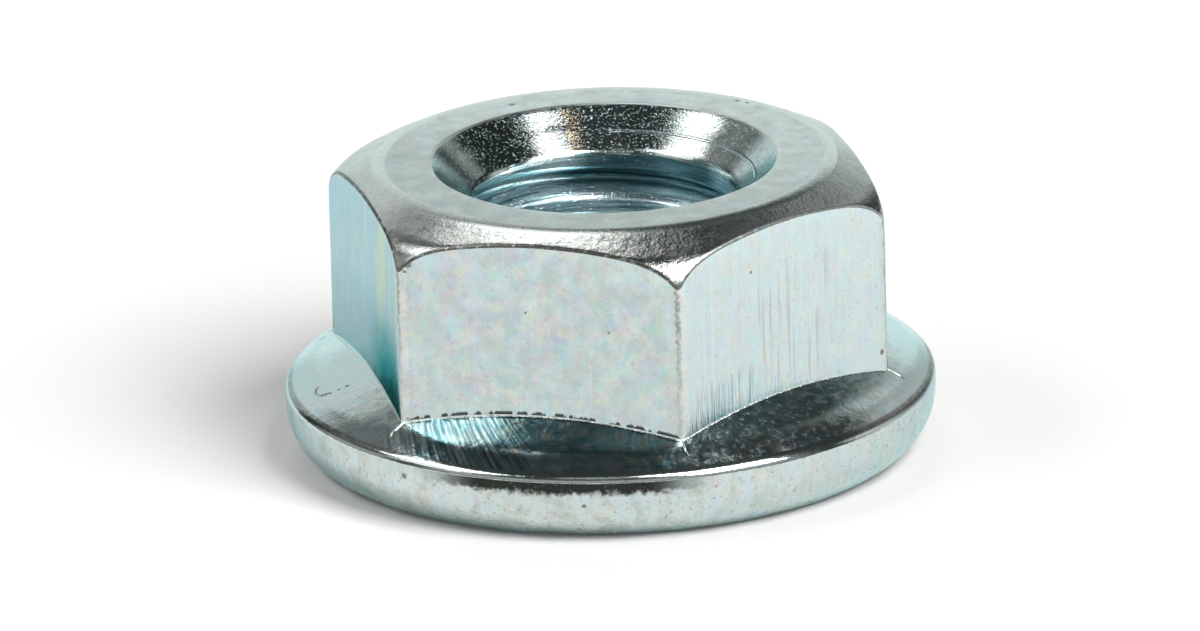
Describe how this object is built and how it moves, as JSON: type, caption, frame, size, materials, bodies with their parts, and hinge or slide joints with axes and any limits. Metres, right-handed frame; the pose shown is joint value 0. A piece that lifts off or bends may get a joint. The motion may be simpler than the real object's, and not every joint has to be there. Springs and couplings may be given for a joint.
{
  "type": "serrated flange nut",
  "caption": "Hexagon nut with a wide flange forged on. Radial teeth under the flange grip the joint and resist loosening.",
  "frame": {"origin": "centre of the bearing plane, where the thread axis meets the tips of the teeth", "axes": "+Z along the thread axis from the bearing plane to the top face; two flats of the hexagon face +Y and -Y"},
  "size_m": [0.0168, 0.0168, 0.0077],
  "materials": {
    "zinc_plated_steel": "bright zinc plate with a pale blue passivation, satin on the flats and glossy on the chamfers"
  },
  "bodies": {
    "root": {"flange_nut": "zinc_plated_steel"}
  },
  "joints": []
}
